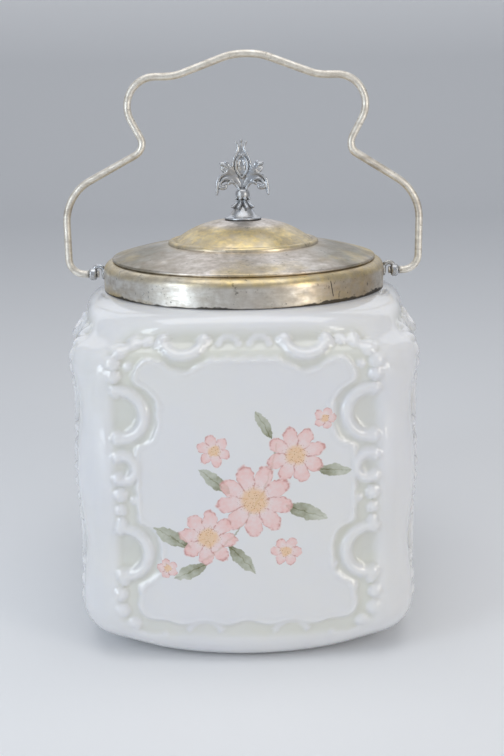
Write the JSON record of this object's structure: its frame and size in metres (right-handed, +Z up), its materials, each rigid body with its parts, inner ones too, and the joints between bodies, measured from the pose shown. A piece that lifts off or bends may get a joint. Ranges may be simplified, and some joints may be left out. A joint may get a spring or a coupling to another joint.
{
  "type": "biscuit jar",
  "caption": "Square pillow-shaped opal-glass biscuit jar with a silver-plated collar, a lift-off lid with a fleur-de-lis finial, and a shaped wire bail.",
  "frame": {"origin": "middle of the jar's foot, on the surface it stands on", "axes": "+Z up through the lid and finial, +X through the right-hand ear, +Y to the back"},
  "size_m": [0.1512, 0.1428, 0.2368],
  "materials": {
    "opal_glass": "glossy opaque white opal glass with moulded scrolls and a painted flower spray",
    "plaster": "dull off-white setting plaster",
    "silver_plate": "silver plate worn through to warm metal in places",
    "cast_silver": "cast and silver-plated, dark in its hollows",
    "bail_silver": "worn silver-plated wire",
    "fastener_brass": "plain machined brass"
  },
  "bodies": {
    "jar": {"jar_body": "opal_glass", "cement_ring": "plaster", "collar_band": "silver_plate", "ear_left": "cast_silver", "ear_right": "cast_silver"},
    "lid": {"lid_shell": "silver_plate", "lid_skirt": "silver_plate", "finial": "cast_silver", "finial_stud": "fastener_brass", "finial_washer": "fastener_brass", "finial_nut": "fastener_brass"},
    "bail": {"bail_handle": "bail_silver"}
  },
  "joints": [
    {"name": "bail_swing", "type": "hinge", "parent": "jar", "child": "bail", "pos_m": [0, 0, 0.146], "axis": [1, 0, 0], "range_deg": [-95, 95]},
    {"name": "lid_lift", "type": "slide", "parent": "jar", "child": "lid", "axis": [0, 0, 1], "range_m": [0, 0.025]}
  ]
}
